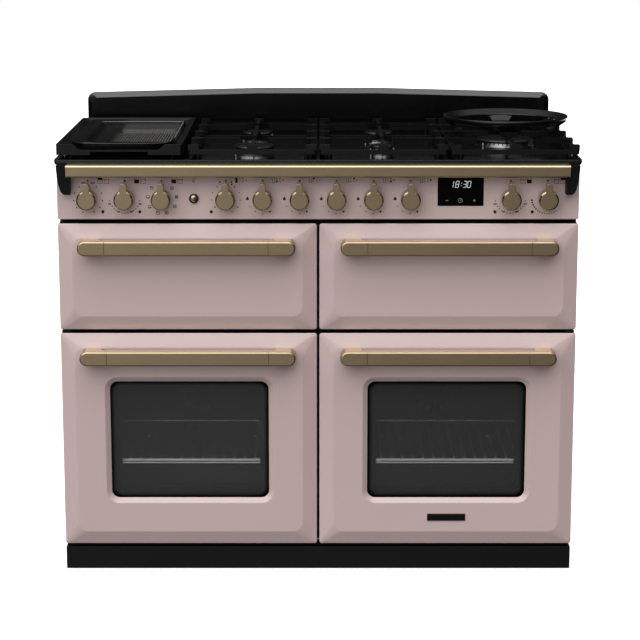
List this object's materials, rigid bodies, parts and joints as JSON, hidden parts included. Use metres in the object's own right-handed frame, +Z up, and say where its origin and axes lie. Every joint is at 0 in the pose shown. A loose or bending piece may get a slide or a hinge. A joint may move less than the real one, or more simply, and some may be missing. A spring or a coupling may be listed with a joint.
{
  "type": "dual fuel range cooker",
  "caption": "Free-standing dual fuel range cooker: gas hob with wok ring and griddle, twin side-hung ovens, drop-down grill door, warming drawer, towel rail.",
  "frame": {"origin": "centre of the footprint, on the floor", "axes": "+X to the right as seen from the front, +Y from the front to the back, +Z up"},
  "size_m": [1.1, 0.648, 0.987],
  "materials": {
    "pink_enamel": "satin enamel",
    "black_enamel": "gloss enamel",
    "oven_enamel": "gloss enamel",
    "painted_panels": "satin",
    "galvanised_steel": "galvanised",
    "chromed_wire": "polished",
    "brass": "brushed",
    "cast_iron": "matt enamel",
    "aluminium": "cast",
    "black_glass": "gloss",
    "door_glass": "clear",
    "moulded_parts": "matt",
    "heating_element": "oxidised",
    "gasket": "woven"
  },
  "bodies": {
    "cooker_body": {"outer_panels": "painted_panels", "chassis_frame": "galvanised_steel", "plinth": "black_enamel", "levelling_feet": "galvanised_steel", "hob_tray": "black_enamel", "splashback": "black_enamel", "front_rail": "brass", "rail_end_brackets": "black_enamel", "burner_heads": "aluminium", "burner_caps": "cast_iron", "griddle_hotplate": "black_glass", "control_panel": "pink_enamel", "clock_module": "black_glass", "taps_and_switches": "moulded_parts", "oven_liners": "oven_enamel", "grill_liner": "oven_enamel", "oven_racks": "chromed_wire", "oven_fan_covers": "oven_enamel", "fan_motors": "galvanised_steel", "grill_pan": "oven_enamel", "grill_element": "heating_element", "door_seals": "gasket"},
    "grill_knob": {"grill_knob": "brass"},
    "left_oven_temperature_knob": {"left_oven_temperature_knob": "brass"},
    "left_oven_function_knob": {"left_oven_function_knob": "brass"},
    "griddle_knob": {"griddle_knob": "brass"},
    "burner_knob_1": {"burner_knob_1": "brass"},
    "burner_knob_2": {"burner_knob_2": "brass"},
    "burner_knob_3": {"burner_knob_3": "brass"},
    "burner_knob_4": {"burner_knob_4": "brass"},
    "burner_knob_5": {"burner_knob_5": "brass"},
    "right_oven_knob": {"right_oven_knob": "brass"},
    "drawer_knob": {"drawer_knob": "brass"},
    "burner_spindle_1": {"burner_spindle_1": "galvanised_steel"},
    "burner_spindle_2": {"burner_spindle_2": "galvanised_steel"},
    "burner_spindle_3": {"burner_spindle_3": "galvanised_steel"},
    "burner_spindle_4": {"burner_spindle_4": "galvanised_steel"},
    "burner_spindle_5": {"burner_spindle_5": "galvanised_steel"},
    "light_button": {"light_button": "brass"},
    "left_oven_fan": {"left_oven_fan": "galvanised_steel"},
    "right_oven_fan": {"right_oven_fan": "galvanised_steel"},
    "pan_support_left": {"pan_support_left": "cast_iron"},
    "pan_support_centre": {"pan_support_centre": "cast_iron"},
    "pan_support_right": {"pan_support_right": "cast_iron"},
    "wok_ring": {"wok_ring": "cast_iron"},
    "griddle_frame": {"griddle_frame": "cast_iron"},
    "griddle": {"griddle": "cast_iron"},
    "left_oven_door": {"left_door_skin": "pink_enamel", "left_door_glass": "door_glass", "left_door_liner": "oven_enamel", "left_door_handle": "brass"},
    "right_oven_door": {"right_door_skin": "pink_enamel", "right_door_glass": "door_glass", "right_door_liner": "oven_enamel", "right_door_handle": "brass"},
    "grill_door": {"grill_door_shell": "pink_enamel", "grill_door_handle": "brass"},
    "warming_drawer": {"drawer_front": "pink_enamel", "drawer_handle": "brass", "drawer_box": "galvanised_steel"}
  },
  "joints": [
    {"name": "left_oven_function_turn", "type": "hinge", "parent": "cooker_body", "child": "left_oven_function_knob", "pos_m": [-0.327, -0.2765, 0.813], "axis": [0, 1, 0], "continuous": true},
    {"name": "left_oven_temperature_turn", "type": "hinge", "parent": "cooker_body", "child": "left_oven_temperature_knob", "pos_m": [-0.4042, -0.2765, 0.813], "axis": [0, 1, 0], "range_deg": [0, 270]},
    {"name": "grill_knob_turn", "type": "hinge", "parent": "cooker_body", "child": "grill_knob", "pos_m": [-0.4814, -0.2765, 0.813], "axis": [0, 1, 0], "range_deg": [-150, 150]},
    {"name": "griddle_knob_turn", "type": "hinge", "parent": "cooker_body", "child": "griddle_knob", "pos_m": [-0.193, -0.2765, 0.813], "axis": [0, 1, 0], "range_deg": [-150, 150]},
    {"name": "right_oven_knob_turn", "type": "hinge", "parent": "cooker_body", "child": "right_oven_knob", "pos_m": [0.402, -0.2765, 0.813], "axis": [0, 1, 0], "range_deg": [0, 270]},
    {"name": "drawer_knob_turn", "type": "hinge", "parent": "cooker_body", "child": "drawer_knob", "pos_m": [0.4792, -0.2765, 0.813], "axis": [0, 1, 0], "range_deg": [0, 270]},
    {"name": "burner_push_1", "type": "slide", "parent": "cooker_body", "child": "burner_spindle_1", "axis": [0, 1, 0], "range_m": [0, 0.003], "stiffness_N_per_m": 900, "springref_m": -0.004},
    {"name": "burner_turn_1", "type": "hinge", "parent": "burner_spindle_1", "child": "burner_knob_1", "pos_m": [-0.1158, -0.2765, 0.813], "axis": [0, -1, 0], "range_deg": [0, 210]},
    {"name": "burner_push_2", "type": "slide", "parent": "cooker_body", "child": "burner_spindle_2", "axis": [0, 1, 0], "range_m": [0, 0.003], "stiffness_N_per_m": 900, "springref_m": -0.004},
    {"name": "burner_turn_2", "type": "hinge", "parent": "burner_spindle_2", "child": "burner_knob_2", "pos_m": [-0.0386, -0.2765, 0.813], "axis": [0, -1, 0], "range_deg": [0, 210]},
    {"name": "burner_push_3", "type": "slide", "parent": "cooker_body", "child": "burner_spindle_3", "axis": [0, 1, 0], "range_m": [0, 0.003], "stiffness_N_per_m": 900, "springref_m": -0.004},
    {"name": "burner_turn_3", "type": "hinge", "parent": "burner_spindle_3", "child": "burner_knob_3", "pos_m": [0.0386, -0.2765, 0.813], "axis": [0, -1, 0], "range_deg": [0, 210]},
    {"name": "burner_push_4", "type": "slide", "parent": "cooker_body", "child": "burner_spindle_4", "axis": [0, 1, 0], "range_m": [0, 0.003], "stiffness_N_per_m": 900, "springref_m": -0.004},
    {"name": "burner_turn_4", "type": "hinge", "parent": "burner_spindle_4", "child": "burner_knob_4", "pos_m": [0.1158, -0.2765, 0.813], "axis": [0, -1, 0], "range_deg": [0, 210]},
    {"name": "burner_push_5", "type": "slide", "parent": "cooker_body", "child": "burner_spindle_5", "axis": [0, 1, 0], "range_m": [0, 0.003], "stiffness_N_per_m": 900, "springref_m": -0.004},
    {"name": "burner_turn_5", "type": "hinge", "parent": "burner_spindle_5", "child": "burner_knob_5", "pos_m": [0.193, -0.2765, 0.813], "axis": [0, -1, 0], "range_deg": [0, 210]},
    {"name": "light_button_push", "type": "slide", "parent": "cooker_body", "child": "light_button", "axis": [0, 1, 0], "range_m": [0, 0.0025], "stiffness_N_per_m": 300, "springref_m": -0.003},
    {"name": "left_oven_door_hinge", "type": "hinge", "parent": "cooker_body", "child": "left_oven_door", "pos_m": [-0.534, -0.254, 0.292], "axis": [0, 0, -1], "range_deg": [0, 100]},
    {"name": "right_oven_door_hinge", "type": "hinge", "parent": "cooker_body", "child": "right_oven_door", "pos_m": [0.534, -0.254, 0.292], "axis": [0, 0, 1], "range_deg": [0, 100]},
    {"name": "grill_door_hinge", "type": "hinge", "parent": "cooker_body", "child": "grill_door", "pos_m": [-0.27425, -0.266, 0.542], "axis": [1, 0, 0], "range_deg": [0, 90]},
    {"name": "drawer_slide", "type": "slide", "parent": "cooker_body", "child": "warming_drawer", "axis": [0, -1, 0], "range_m": [0, 0.4]},
    {"name": "left_fan_spin", "type": "hinge", "parent": "cooker_body", "child": "left_oven_fan", "pos_m": [-0.27425, 0.162, 0.292], "axis": [0, 1, 0], "continuous": true},
    {"name": "right_fan_spin", "type": "hinge", "parent": "cooker_body", "child": "right_oven_fan", "pos_m": [0.27425, 0.162, 0.292], "axis": [0, 1, 0], "continuous": true},
    {"name": "pan_support_left_lift", "type": "slide", "parent": "cooker_body", "child": "pan_support_left", "axis": [0, 0, 1], "range_m": [0, 0.2]},
    {"name": "pan_support_centre_lift", "type": "slide", "parent": "cooker_body", "child": "pan_support_centre", "axis": [0, 0, 1], "range_m": [0, 0.2]},
    {"name": "pan_support_right_lift", "type": "slide", "parent": "cooker_body", "child": "pan_support_right", "axis": [0, 0, 1], "range_m": [0, 0.2]},
    {"name": "wok_ring_lift", "type": "slide", "parent": "pan_support_right", "child": "wok_ring", "axis": [0, 0, 1], "range_m": [0, 0.2]},
    {"name": "griddle_frame_lift", "type": "slide", "parent": "cooker_body", "child": "griddle_frame", "axis": [0, 0, 1], "range_m": [0, 0.2]},
    {"name": "griddle_lift", "type": "slide", "parent": "griddle_frame", "child": "griddle", "axis": [0, 0, 1], "range_m": [0, 0.2]}
  ]
}
